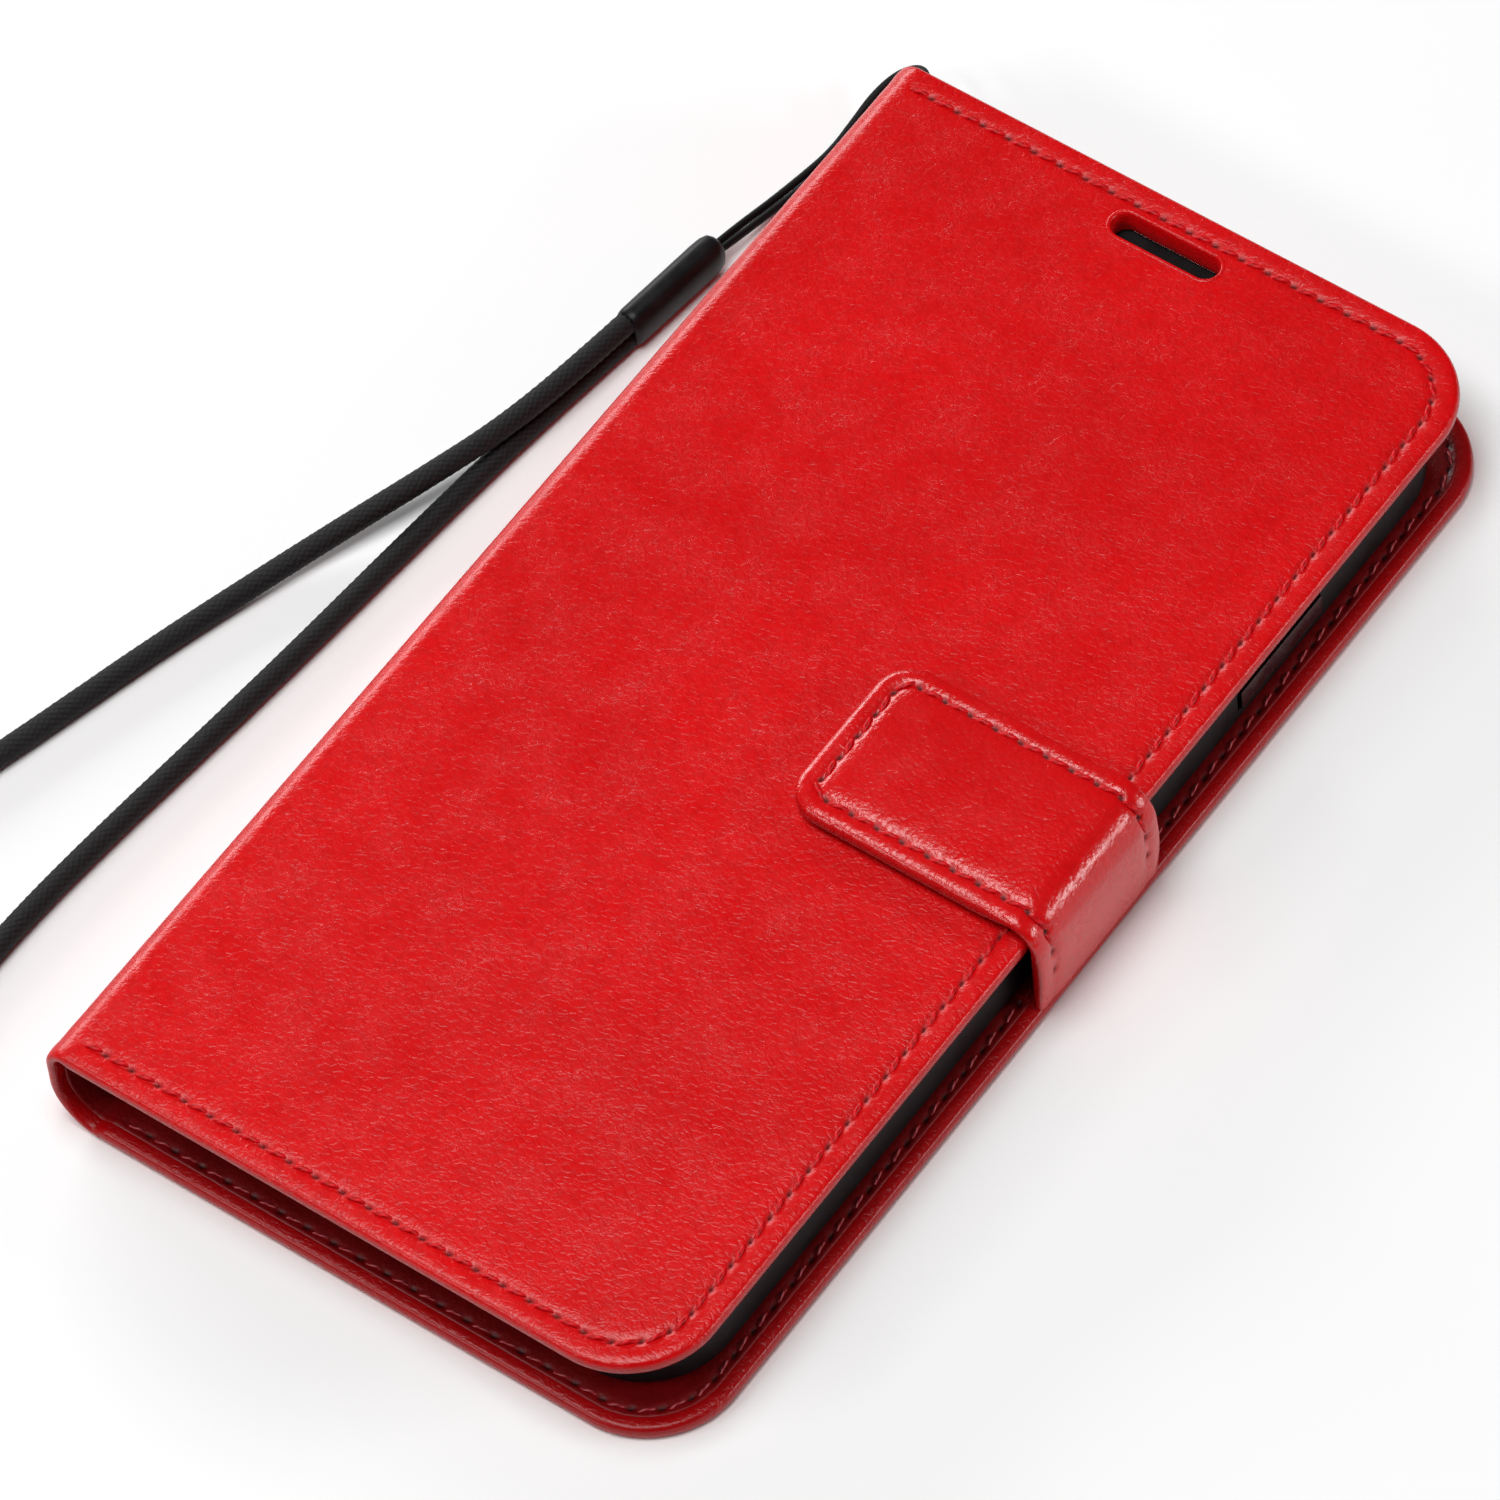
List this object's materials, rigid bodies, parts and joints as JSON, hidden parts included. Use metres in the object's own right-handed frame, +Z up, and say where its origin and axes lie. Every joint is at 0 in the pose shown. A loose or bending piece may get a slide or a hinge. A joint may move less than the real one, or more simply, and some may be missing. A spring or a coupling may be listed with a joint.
{
  "type": "phone wallet case",
  "caption": "Folio phone case in leather with a moulded phone tray, card pockets, a magnetic strap over the fore edge and a cord wrist strap.",
  "frame": {"origin": "centre of the closed case's footprint, on the underside of the back cover, the wrist strap left out", "axes": "+X from the spine to the fore edge, +Y from the bottom end to the top end, +Z up out of the front cover"},
  "size_m": [0.1268, 0.1855, 0.0163],
  "materials": {
    "outer_leather": "satin, fine grain",
    "lining_leather": "matt, fine grain",
    "board": "raw fibre board",
    "filler": "foam",
    "thread": "waxed thread",
    "tray_rubber": "satin moulded",
    "keeper_steel": "plain sheet",
    "magnet_plating": "nickel plated",
    "cord_textile": "braided",
    "ferrule_rubber": "satin moulded"
  },
  "bodies": {
    "back_cover": {"back_skin": "outer_leather", "back_board": "board", "back_lining": "lining_leather", "back_stitching": "thread", "strap_root": "outer_leather", "phone_tray": "tray_rubber", "lanyard_ferrule": "ferrule_rubber", "hitching_cord": "cord_textile", "wrist_cord": "cord_textile"},
    "spine": {"spine_skin": "outer_leather", "spine_lining": "lining_leather"},
    "front_cover": {"front_skin": "outer_leather", "front_board": "board", "front_lining": "lining_leather", "front_stitching": "thread", "keeper_plate": "keeper_steel", "cash_pocket_panel": "lining_leather", "card_slot_lower": "lining_leather", "card_slot_middle": "lining_leather", "card_slot_upper": "lining_leather", "pocket_stitching": "thread"},
    "strap_side": {"strap_side_skin": "outer_leather", "strap_side_lining": "lining_leather"},
    "strap_tab": {"strap_tab_skin": "outer_leather", "strap_tab_lining": "lining_leather", "strap_filler": "filler", "upper_strap_magnet": "magnet_plating", "lower_strap_magnet": "magnet_plating", "strap_stitching": "thread"},
    "power_key": {"power_key_pad": "tray_rubber"},
    "volume_up_key": {"volume_up_key_pad": "tray_rubber"},
    "volume_down_key": {"volume_down_key_pad": "tray_rubber"}
  },
  "joints": [
    {"name": "spine_hinge", "type": "hinge", "parent": "back_cover", "child": "spine", "pos_m": [-0.03837, 0, 0.00233], "axis": [0, -1, 0], "range_deg": [0, 50]},
    {"name": "cover_hinge", "type": "hinge", "parent": "spine", "child": "front_cover", "pos_m": [-0.03965, 0, 0.01215], "axis": [0, -1, 0], "range_deg": [0, 130]},
    {"name": "strap_hinge", "type": "hinge", "parent": "back_cover", "child": "strap_side", "pos_m": [0.04005, 0, 0.001], "axis": [0, 1, 0], "range_deg": [0, 90]},
    {"name": "strap_fold", "type": "hinge", "parent": "strap_side", "child": "strap_tab", "pos_m": [0.0393, 0, 0.0149], "axis": [0, 1, 0], "range_deg": [0, 90]},
    {"name": "power_key_press", "type": "slide", "parent": "back_cover", "child": "power_key", "axis": [-1, 0, 0], "range_m": [0, 0.0004], "stiffness_N_per_m": 600},
    {"name": "volume_up_press", "type": "slide", "parent": "back_cover", "child": "volume_up_key", "axis": [1, 0, 0], "range_m": [0, 0.0004], "stiffness_N_per_m": 600},
    {"name": "volume_down_press", "type": "slide", "parent": "back_cover", "child": "volume_down_key", "axis": [1, 0, 0], "range_m": [0, 0.0004], "stiffness_N_per_m": 600}
  ]
}
